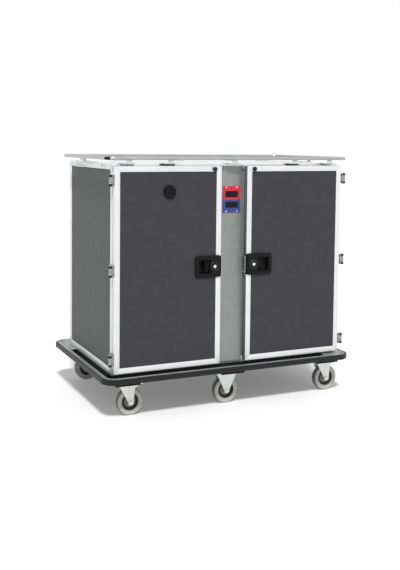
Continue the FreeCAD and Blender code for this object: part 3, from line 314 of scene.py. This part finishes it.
def plank(shape, low, high, edge_mm):
    """A bar between two corners, with eased edges."""
    size = [abs(end - start) * MM for start, end in zip(low, high)]
    middle = Vector([(start + end) / 2 * MM for start, end in zip(low, high)])
    place = Matrix.Translation(middle) @ Matrix.Diagonal((*size, 1))
    made = bmesh.ops.create_cube(shape, size=1.0, matrix=place)
    soften(shape, {edge for vert in made["verts"] for edge in vert.link_edges}, edge_mm)


def outline_face(shape, points):
    return shape.faces.new([shape.verts.new(Vector(point) * MM) for point in points])


def prism(shape, points, along, edge_mm):
    """A face through the points, drawn out along a vector, with eased edges unless their width is 0."""
    face = outline_face(shape, points)
    drawn = bmesh.ops.extrude_face_region(shape, geom=[face], use_keep_orig=True)["geom"]
    moved = [part for part in drawn if isinstance(part, bmesh.types.BMVert)]
    bmesh.ops.translate(shape, verts=moved, vec=Vector(along) * MM)
    if edge_mm:
        soften(shape, {edge for vert in (*moved, *face.verts) for edge in vert.link_edges}, edge_mm)


def turned(shape, outline, centre, axis="Y", steps=56):
    """A closed outline of (radius, along), turned round an axis through the centre."""
    rings = []
    for radius, along in outline:
        offset = Vector((radius, along, 0)) if axis == "Y" else Vector((radius, 0, along))
        rings.append(shape.verts.new((Vector(centre) + offset) * MM))
    edges = [shape.edges.new((start, end)) for start, end in zip(rings, rings[1:] + rings[:1])]
    direction = (0, 1, 0) if axis == "Y" else (0, 0, 1)
    bmesh.ops.spin(shape, geom=rings + edges, cent=Vector(centre) * MM, axis=direction, angle=2 * pi,
                   steps=steps, use_merge=True)


def screw_head(shape, centre, radius, height, axis="Y", side=-1):
    """A low domed head that stands on a face and rises towards side along the axis."""
    tip = radius * 0.02
    outline = [(tip, 0), (radius, 0), (radius, height * 0.35 * side), (radius * 0.8, height * 0.8 * side),
               (radius * 0.4, height * side), (tip, height * side)]
    turned(shape, outline, centre, axis, steps=14)


def sideways_screw_head(shape, centre, radius, height, side):
    """The same head on a face that looks along X."""
    begun = len(shape.verts)
    screw_head(shape, (0, 0, 0), radius, height)
    shape.verts.ensure_lookup_table()
    place = Matrix.Translation(Vector(centre) * MM) @ Matrix.Rotation(radians(90 * side), 4, "Z")
    bmesh.ops.transform(shape, matrix=place, verts=shape.verts[begun:])


def settle(name, shape, material, body, replaced=(), like=None):
    """Makes the piece, lets it ride on its body, and hides the nodes it stands for. The argument like is not
    used.
    """
    bmesh.ops.remove_doubles(shape, verts=shape.verts, dist=0.001 * MM)
    bmesh.ops.recalc_face_normals(shape, faces=shape.faces)
    mesh = bpy.data.meshes.new(name)
    shape.to_mesh(mesh)
    shape.free()
    mesh.materials.append(material)
    mesh.shade_smooth()
    mesh.set_sharp_from_angle(angle=SHADED_ANGLE)
    piece = bpy.data.objects.new(name, mesh)
    bpy.context.collection.objects.link(piece)
    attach(piece, body)
    if replaced:
        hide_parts(*replaced)


def eased_copy(node, width_mm):
    """Stands for a node with the same shape and eased edges."""
    source = nodes[node]
    shape = bmesh.new()
    shape.from_mesh(source.data)
    bmesh.ops.remove_doubles(shape, verts=shape.verts, dist=0.01 * MM)
    bmesh.ops.dissolve_limit(shape, angle_limit=radians(0.5), verts=shape.verts, edges=shape.edges)
    shared = [edge for edge in shape.edges if len(edge.link_faces) == 2]
    soften(shape, [edge for edge in shared if edge.calc_face_angle(0) > EASED_ANGLE], width_mm)
    settle(node + "_eased", shape, source.data.materials[0], node_body[node], (node,))


# ---- places of the solids -----------------------------------------------------------------

def span(node, axis):
    """Where a node begins and ends along an axis, to a tenth of a millimetre."""
    return [round(corner[axis] / MM, 1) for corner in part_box(node)]


def middle_of(node):
    """The middle of a node's box."""
    low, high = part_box(node)
    return [(start + end) / 2 / MM for start, end in zip(low, high)]


X, Y, Z = 0, 1, 2
HALF_LENGTH = span("frame_profiles", X)[1]
CABINET_FRONT, CABINET_BACK = span("frame_profiles", Y)
DECK_TOP, CABINET_TOP = span("frame_profiles", Z)
INNER_X = span("back_panel", X)[1]
SILL_TOP, HEAD_BOTTOM = span("back_panel", Z)
FREE_EDGE = span("door_frame_right", X)[0]
DOOR_FRONT, DOOR_BACK = span("door_frame_left", Y)
DOOR_BOTTOM, DOOR_TOP = span("door_frame_left", Z)
LATCH_BOTTOM, LATCH_TOP = span("latch_housing_left", Z)
LATCH_MIDDLE = (LATCH_BOTTOM + LATCH_TOP) / 2
COLUMN_EDGE = span("column_cover", X)[1]
PARTITION_EDGE = span("bay_partitions", X)[1]
RING_X, RING_Y = span("deck_ring", X)[1], span("deck_ring", Y)[1]
RING_BOTTOM = span("deck_ring", Z)[0]
RING_WIDTH, RING_CORNER = 22, 68


# ---- cabinet and door frames ---------------------------------------------------------------

def make_cabinet_frame():
    """Twelve extrusions butted together, with eased edges that draw the joint lines."""
    bar = HALF_LENGTH - INNER_X
    post_depth = span("side_panel_left", Y)[0] - CABINET_FRONT
    edge = 1.5
    ends = [sorted((INNER_X * side, HALF_LENGTH * side)) for side in (-1, 1)]
    posts, rails = bmesh.new(), bmesh.new()
    for left, right in ends:
        for front in (CABINET_FRONT, CABINET_BACK - post_depth):
            plank(posts, (left, front, DECK_TOP), (right, front + post_depth, CABINET_TOP), edge)
    for low, high in ((DECK_TOP, SILL_TOP), (HEAD_BOTTOM, CABINET_TOP)):
        for front in (CABINET_FRONT, CABINET_BACK - bar):
            plank(rails, (-INNER_X, front, low), (INNER_X, front + bar, high), edge)
        front, back = CABINET_FRONT + post_depth, CABINET_BACK - post_depth
        for left, right in ends:
            plank(rails, (left, front, low), (right, back, high), edge)
    settle("cabinet_posts", posts, anodised_upright, "cabinet", ("frame_profiles",))
    settle("cabinet_rails", rails, anodised_across, "cabinet", like="frame_profiles")


def make_door_frame(door_side):
    """Mitred extrusions round the door panel. The bar at the free edge is parted by the latch housing."""
    side = DOOR_SIDES[door_side]
    width = span("door_panel_left", Z)[0] - DOOR_BOTTOM
    hinge, free = HALF_LENGTH * side, FREE_EDGE * side
    inner_hinge, inner_free = hinge - width * side, free + width * side
    low, high = DOOR_BOTTOM + width, DOOR_TOP - width
    housing_lap = 2
    under, over = LATCH_BOTTOM + housing_lap, LATCH_TOP - housing_lap
    upright_bars = (
        ((hinge, DOOR_BOTTOM), (inner_hinge, low), (inner_hinge, high), (hinge, DOOR_TOP)),
        ((free, DOOR_BOTTOM), (inner_free, low), (inner_free, under), (free, under)),
        ((free, DOOR_TOP), (inner_free, high), (inner_free, over), (free, over)),
    )
    level_bars = (
        ((hinge, DOOR_BOTTOM), (free, DOOR_BOTTOM), (inner_free, low), (inner_hinge, low)),
        ((hinge, DOOR_TOP), (free, DOOR_TOP), (inner_free, high), (inner_hinge, high)),
    )
    uprights, crossbars = bmesh.new(), bmesh.new()
    for shape, bars in ((uprights, upright_bars), (crossbars, level_bars)):
        for bar in bars:
            prism(shape, [(x, DOOR_FRONT, z) for x, z in bar], (0, DOOR_BACK - DOOR_FRONT, 0), 1.2)
    body, frame_node = f"door_{door_side}", f"door_frame_{door_side}"
    settle(f"door_uprights_{door_side}", uprights, anodised_upright, body, (frame_node,))
    settle(f"door_crossbars_{door_side}", crossbars, anodised_across, body, like=frame_node)


def make_edge_shade_strips(door_side):
    """A dark strip on the free edge of the door, in two lengths above and below the latch, as painted shade
    for the shade in the gap beside the column.
    """
    side = DOOR_SIDES[door_side]
    thick, end_gap, front_gap, back_gap = 0.8, 2, 2.5, 0.5
    left, right = sorted((FREE_EDGE * side, (FREE_EDGE - thick) * side))
    shape = bmesh.new()
    for low, high in ((DOOR_BOTTOM + end_gap, LATCH_BOTTOM), (LATCH_TOP, DOOR_TOP - end_gap)):
        plank(shape, (left, DOOR_FRONT + front_gap, low), (right, DOOR_BACK - back_gap, high), 0.2)
    gasket = f"door_gasket_{door_side}"
    settle(f"door_edge_shade_strip_{door_side}", shape, free_edge_shade, f"door_{door_side}", like=gasket)


# ---- deck ring and bumper --------------------------------------------------------------------

def path_round(shape, outline, parts=("strips", "corners")):
    """Straight strips and quarter turns round the deck. outline is (out from the ring's face, up)."""
    strip_gap = 0.4
    for turn in range(4):
        out_to, ring_half = (RING_Y, RING_X) if turn % 2 == 0 else (RING_X, RING_Y)
        straight = ring_half - RING_CORNER
        begun = len(shape.verts)
        if "strips" in parts:
            begin = -straight + strip_gap
            prism(shape, [(begin, -out_to - out, up) for out, up in outline], (-2 * begin, 0, 0), 0)
        if "corners" in parts:
            face = outline_face(shape, [(straight, -out_to - out, up) for out, up in outline])
            centre = Vector((straight, -out_to + RING_CORNER, 0)) * MM
            bmesh.ops.spin(shape, geom=[face], cent=centre, axis=(0, 0, 1), angle=pi / 2, steps=12)
        shape.verts.ensure_lookup_table()
        rotation = Matrix.Rotation(radians(90 * turn), 4, "Z")
        bmesh.ops.transform(shape, matrix=rotation, verts=shape.verts[begun:])


def make_bumper():
    """Straight extruded strips with a shallow groove, between moulded corners that stand a little prouder."""
    low, high = RING_BOTTOM, DECK_TOP
    strip = [(0, low + 1), (7, low + 1), (9.5, low + 2.5), (10.5, low + 5), (10.5, low + 11),
             (9.3, low + 12.5), (9.3, low + 17), (10.5, low + 18.5), (10.5, high - 5), (9.6, high - 2),
             (7.4, high - 0.3), (0, high - 0.3)]
    corner = [(0, low), (8, low), (11, low + 2), (12, low + 5), (12, high - 5), (11, high - 2), (8, high),
              (0, high)]
    shape = bmesh.new()
    path_round(shape, strip, ("strips",))
    settle("bumper_strips", shape, black_rubber, "cabinet", ("rubber_bumper",))
    shape = bmesh.new()
    path_round(shape, corner, ("corners",))
    settle("bumper_corners", shape, black_rubber, "cabinet", like="rubber_bumper")


def make_deck_ring():
    low, high, ease = RING_BOTTOM, DECK_TOP, 1.5
    section = [(0, low), (0, high - ease), (-ease, high), (-RING_WIDTH + ease, high),
               (-RING_WIDTH, high - ease), (-RING_WIDTH, low)]
    shape = bmesh.new()
    path_round(shape, section)
    settle("deck_ring_section", shape, mill_section, "cabinet", ("deck_ring",))


def make_corner_plates():
    """Screwed plates that fill the ring's rear left and front right corners, round the cabinet's corner."""
    along_wall, beside_wall, chamfer, thick = 102, 136, 14, 4
    inside_x, inside_y = RING_X - RING_WIDTH, RING_Y - RING_WIDTH
    plates, screws = bmesh.new(), bmesh.new()
    for side, wall in ((-1, CABINET_BACK), (1, CABINET_FRONT)):
        begin_x, beside_x = (HALF_LENGTH - along_wall) * side, HALF_LENGTH * side
        ring_x, ring_y = inside_x * side, inside_y * -side
        end_y = wall + beside_wall * side
        points = ((begin_x, wall), (begin_x, ring_y), (ring_x - chamfer * side, ring_y),
                  (ring_x, ring_y + chamfer * side), (ring_x, end_y), (beside_x, end_y), (beside_x, wall))
        prism(plates, [(x, y, DECK_TOP - thick) for x, y in points], (0, 0, thick), 0.6)
        strip_middle = (HALF_LENGTH + 17) * side
        places = (((HALF_LENGTH - 84) * side, (wall + ring_y) / 2), (strip_middle, end_y - 16 * side),
                  (strip_middle, wall - 10 * side))
        for x, y in places:
            screw_head(screws, (x, y, DECK_TOP), 5, 1.6, "Z", 1)
    settle("corner_plates", plates, mill_section, "cabinet", like="deck_ring")
    settle("corner_plate_screws", screws, zinc_plating, "cabinet", like="caster_bolts")


# ---- wheels ------------------------------------------------------------------------------------

def both_faces(points):
    """An outline's points on the wheel's -Y face, then in reverse order on its +Y face."""
    return [(radius, -along) for radius, along in points] + points[::-1]


def make_wheel(name):
    """A crowned tyre on a black rim, with a paler web and hub inside it."""
    tyre_node, rim_node = f"tyre_{name}", f"wheel_rim_{name}"
    tyre = both_faces([(47, 14), (49, 17), (58, 19.2), (66, 19.8), (70, 19.4), (71.5, 18)])
    tread = [(71, -18.4), (72.5, -17.6), (74.4, -12), (75, 0), (74.4, 12), (72.5, 17.6), (71, 18.4)]
    rim = both_faces([(47.5, 14), (47.5, 17), (46, 18.4), (42, 18.4), (39, 15), (36, 9), (31, 8), (30, 5)])
    hub = both_faces([(31, 5), (31, 7.4), (26, 6.4), (21, 8), (18, 14), (16.5, 22), (15.5, 23), (6.4, 23)])
    rings = (
        (f"tyre_sides_{name}", tyre, 56, tyre_rubber, {"replaced": (tyre_node,)}),
        (f"tyre_tread_{name}", tread, 56, tread_rubber, {"like": tyre_node}),
        (f"rim_black_{name}", rim, 56, black_rim, {"replaced": (rim_node,)}),
        (f"hub_{name}", hub, 40, hub_nylon, {"like": rim_node}),
    )
    for piece, outline, steps, material, role in rings:
        shape = bmesh.new()
        turned(shape, outline, middle_of(tyre_node), steps=steps)
        settle(piece, shape, material, node_body[tyre_node], **role)


# ---- small fixings ---------------------------------------------------------------------------------

def make_display_screws():
    """Four nickel-plated screws, one in each corner of the display plate."""
    middle = middle_of("display_plate")
    shape = bmesh.new()
    for along in (-33.5, 33.5):
        for up in (-67, 67):
            place = (middle[X] + along, span("display_plate", Y)[0], middle[Z] + up)
            screw_head(shape, place, 4.6, 1.6)
    settle("display_screws", shape, pale_screw, "cabinet", like="caster_bolts")


def hinge_middles(door_side):
    """The heights of a door's three hinges, and half a hinge's height."""
    half_height = 30
    bottom, top = span(f"door_hinge_leaves_{door_side}", Z)
    return (bottom + half_height, LATCH_MIDDLE, top - half_height), half_height


def make_hinge_screws(door_side):
    """Four blackened screws in the cabinet leaf of each hinge."""
    side, leaf = DOOR_SIDES[door_side], 2.5
    middles, _ = hinge_middles(door_side)
    shape = bmesh.new()
    for middle in middles:
        for up in (-19, 19):
            for behind in (11, 26):
                place = ((HALF_LENGTH + leaf) * side, CABINET_FRONT + behind, middle + up)
                sideways_screw_head(shape, place, 4, 2.6, side)
    settle(f"hinge_screws_{door_side}", shape, dark_screw, "cabinet", like="cabinet_hinge_leaves")


def make_hinge_bushes(door_side):
    """Black bushes at both ends of each hinge barrel."""
    pin_x, pin_y, _ = joint_place[f"door_{door_side}_hinge"]
    middles, half_height = hinge_middles(door_side)
    half_bush = 6
    outline = [(8.6, -half_bush), (9.8, -5.4), (9.8, 5.4), (8.6, half_bush)]
    shape = bmesh.new()
    for middle in middles:
        for end in (-1, 1):
            height = middle + (half_height - half_bush) * end
            turned(shape, outline, (pin_x, pin_y, height), "Z", 24)
    settle(f"hinge_bushes_{door_side}", shape, black_nylon, "cabinet", like="cabinet_hinge_leaves")


def make_elbow_shade_sleeves():
    """Black sleeves on the two front elbows of the gallery rail, as painted shade for the elbows' shaded
    sides, dropped a hair to stay under its top.
    """
    bottom, top = span("gallery_rail", Z)
    radius, wall, bend = (top - bottom) / 2, 0.4, 40
    bend_x = span("gallery_rail", X)[1] - radius - bend
    bend_y = span("gallery_rail", Y)[0] + radius + bend
    shape = bmesh.new()
    for side in (-1, 1):
        centre = Vector((bend_x * side, bend_y, top - radius - wall)) * MM
        begin = Matrix.Translation(centre + Vector((bend * side * MM, 0, 0)))
        ring = bmesh.ops.create_circle(shape, cap_ends=True, segments=20, radius=(radius + wall) * MM,
                                       matrix=begin @ Matrix.Rotation(radians(90), 4, "X"))
        face = {face for vert in ring["verts"] for face in vert.link_faces}
        bmesh.ops.spin(shape, geom=list(face), cent=centre, axis=(0, 0, -side), angle=radians(52), steps=10)
    settle("rail_elbow_painted_shade", shape, black_nylon, "cabinet", like="gallery_rail")


def make_bay_liners():
    """Thin pale sheets on the inner faces of the back and side walls, behind the racks."""
    inner_y = span("back_panel", Y)[0]
    bottom, top = span("bay_partitions", Z)
    thick, gap, corner_gap, front_gap, edge = 0.6, 0.5, 1, 34, 0.1
    floor, ceiling = bottom + gap, top - gap
    shape = bmesh.new()
    for side in (-1, 1):
        left, right = sorted((side * (PARTITION_EDGE + gap), side * (INNER_X - corner_gap)))
        plank(shape, (left, inner_y - thick, floor), (right, inner_y, ceiling), edge)
        left, right = sorted((side * (INNER_X - thick), side * INNER_X))
        plank(shape, (left, CABINET_FRONT + front_gap, floor), (right, inner_y - corner_gap, ceiling), edge)
    settle("bay_liners", shape, liner_laminate, "cabinet", like="floor_panel")


def make_column_returns():
    """The narrow folds of the column cover that close the front edges of the two inner walls, darker as
    painted shade for the gap beside the column.
    """
    thick, cover_gap, end_gap = 1.2, 0.6, 1
    front, low, high = CABINET_FRONT - thick, SILL_TOP + end_gap, HEAD_BOTTOM - end_gap
    shape = bmesh.new()
    for side in (-1, 1):
        left, right = sorted((side * (COLUMN_EDGE + cover_gap), side * PARTITION_EDGE))
        plank(shape, (left, front, low), (right, CABINET_FRONT, high), 0.4)
    settle("column_cover_returns", shape, return_painted_shade, "cabinet", like="column_cover")


def make_column_head():
    """The frame's cap strip that crosses the head of the column."""
    half, front, back = COLUMN_EDGE - 0.3, CABINET_FRONT - 3.4, CABINET_FRONT - 2
    shape = bmesh.new()
    plank(shape, (-half, front, DOOR_TOP), (half, back, CABINET_TOP), 0.4)
    settle("column_head_strip", shape, anodised_across, "cabinet", like="frame_profiles")


def make_bracket_clips():
    """Black strips on the edge of the top frame, under two of the front bracket feet."""
    half_width, front = 45, CABINET_FRONT - 3
    low, high = CABINET_TOP - 8, CABINET_TOP - 1
    shape = bmesh.new()
    for middle in (-390, 390):
        left, right = middle - half_width, middle + half_width
        plank(shape, (left, front, low), (right, CABINET_FRONT, high), 1)
    settle("bracket_clips", shape, black_nylon, "cabinet", like="rail_brackets")


def make_key_collar(door_side):
    """A raised collar round the key, on the sunken face of the latch housing."""
    housing = f"latch_housing_{door_side}"
    rim_height = 3
    face = span(housing, Y)[0] + rim_height
    collar = [(21, -3.2), (22, -4.4), (24, -4.4), (25.5, -3), (25.5, 0), (21, 0)]
    shape = bmesh.new()
    turned(shape, collar, (middle_of(f"lock_cylinder_{door_side}")[X], face, LATCH_MIDDLE), steps=48)
    # The collar's lighter grey is a painted highlight.
    settle(f"latch_collar_{door_side}", shape, collar_nylon_highlight, f"door_{door_side}", like=housing)


make_cabinet_frame()
make_bumper()
make_deck_ring()
make_corner_plates()
for door_side in DOOR_SIDES:
    make_door_frame(door_side)
    make_edge_shade_strips(door_side)
    make_key_collar(door_side)
for name in family("tyre_"):
    make_wheel(name.removeprefix("tyre_"))
make_display_screws()
make_bay_liners()
make_column_returns()
make_column_head()
make_bracket_clips()
for door_side in DOOR_SIDES:
    make_hinge_screws(door_side)
    make_hinge_bushes(door_side)
make_elbow_shade_sleeves()

# Widths of the eased edges.
single_edges = {"column_cover": 0.8, "rail_brackets": 1.2, "fixed_caster_forks": 0.9,
                "swivel_top_plates": 0.8, "door_catches": 1.0, "display_plate": 0.6, "vent_knob": 1.2,
                "power_inlet": 0.8, "eutectic_plate": 4.0}
fork_edge = 0.9
door_edges = {"latch_housing": 1.2, "latch_lever": 1.2, "lock_cylinder": 0.8, "door_stud": 1.5,
              "door_hinge_leaves": 0.6}
for name, width in single_edges.items():
    eased_copy(name, width)
for name in family("swivel_fork_"):
    eased_copy(name, fork_edge)
for door_side in DOOR_SIDES:
    for name, width in door_edges.items():
        eased_copy(f"{name}_{door_side}", width)


# ---- floor, light and camera ------------------------------------------------------------

def seen_directly(owner):
    """1 where the camera, a reflection or a look through glass meets the surroundings, otherwise 0."""
    ray = add_node(owner, "ShaderNodeLightPath").outputs
    share = ray["Is Camera Ray"]
    for kind in ("Is Glossy Ray", "Is Transmission Ray"):
        share = add_node(owner, "ShaderNodeMath", {0: share, 1: ray[kind]}, operation="MAXIMUM").outputs[0]
    return share


def make_floor():
    """A matt white floor that fades into the white surroundings and keeps the shadow."""
    half_size_m, glow = 30, 0.17
    mesh = bpy.data.meshes.new("floor")
    shape = bmesh.new()
    bmesh.ops.create_grid(shape, x_segments=1, y_segments=1, size=half_size_m)
    shape.to_mesh(mesh)
    shape.free()
    floor = bpy.data.objects.new("floor", mesh)
    bpy.context.collection.objects.link(floor)
    material, shader, _ = start_material("painted_studio_floor", Base_Color=WHITE, Roughness=0.95,
                                         Specular_IOR_Level=0.0)
    share = add_node(material, "ShaderNodeMath", {0: seen_directly(material), 1: glow}, operation="MULTIPLY")
    white = add_node(material, "ShaderNodeEmission", {"Color": WHITE, "Strength": 1.0})
    mix = add_node(material, "ShaderNodeMixShader",
                   {0: share.outputs[0], 1: shader.outputs[0], 2: white.outputs[0]})
    output = material.node_tree.nodes["Material Output"]
    material.node_tree.links.new(mix.outputs[0], output.inputs["Surface"])
    mesh.materials.append(material)


def make_world():
    """Soft white surroundings, which the camera, metal and glass see as plain white."""
    world = bpy.data.worlds.new("studio_white")
    bpy.context.scene.world = world
    world.use_nodes = True
    soft = world.node_tree.nodes["Background"]
    soft.inputs["Color"].default_value = WHITE
    soft.inputs["Strength"].default_value = 0.44
    plain = add_node(world, "ShaderNodeBackground", {"Color": WHITE, "Strength": 1.0})
    mix = add_node(world, "ShaderNodeMixShader",
                   {0: seen_directly(world), 1: soft.outputs[0], 2: plain.outputs[0]})
    world.node_tree.links.new(mix.outputs[0], world.node_tree.nodes["World Output"].inputs["Surface"])


def make_sun():
    """One broad lamp from the front left, whose shadow lies behind and to the right of the deck."""
    shines_towards = Vector((0.24, 0.72, -1.0))
    lamp = bpy.data.lights.new("window_light", "SUN")
    lamp.energy = 2.7
    lamp.angle = radians(7)
    holder = bpy.data.objects.new("window_light", lamp)
    bpy.context.collection.objects.link(holder)
    holder.rotation_euler = shines_towards.to_track_quat("-Z", "Y").to_euler()


def make_camera():
    """The photograph's view, from a fit of the cart's straight edges. Pixels of a 400 x 570 frame."""
    width, height = 400, 570
    focal, middle_x, middle_y = 856.5, 201.0, 200.6
    eye = (-2.172, -4.672, 1.484)
    turn, dip, tilt = 0.4364, 0.0680, 0.0104
    forward = Vector((sin(turn) * cos(dip), cos(turn) * cos(dip), -sin(dip)))
    across = Vector((cos(turn), -sin(turn), 0))
    upward = across.cross(forward)
    right = across * cos(tilt) + upward * sin(tilt)
    above = upward * cos(tilt) - across * sin(tilt)
    lens = bpy.data.cameras.new("photo_camera")
    lens.sensor_fit = "VERTICAL"
    lens.sensor_height = 36
    lens.lens = focal / height * lens.sensor_height
    lens.shift_x = (width / 2 - middle_x) / height
    lens.shift_y = (middle_y - height / 2) / height
    lens.clip_end = 100
    camera = bpy.data.objects.new("photo_camera", lens)
    bpy.context.collection.objects.link(camera)
    facing = Matrix((right, above, -forward)).transposed().to_4x4()
    camera.matrix_world = Matrix.Translation(eye) @ facing
    bpy.context.scene.camera = camera


make_floor()
make_world()
make_sun()
make_camera()
bpy.context.scene.view_settings.view_transform = "Standard"
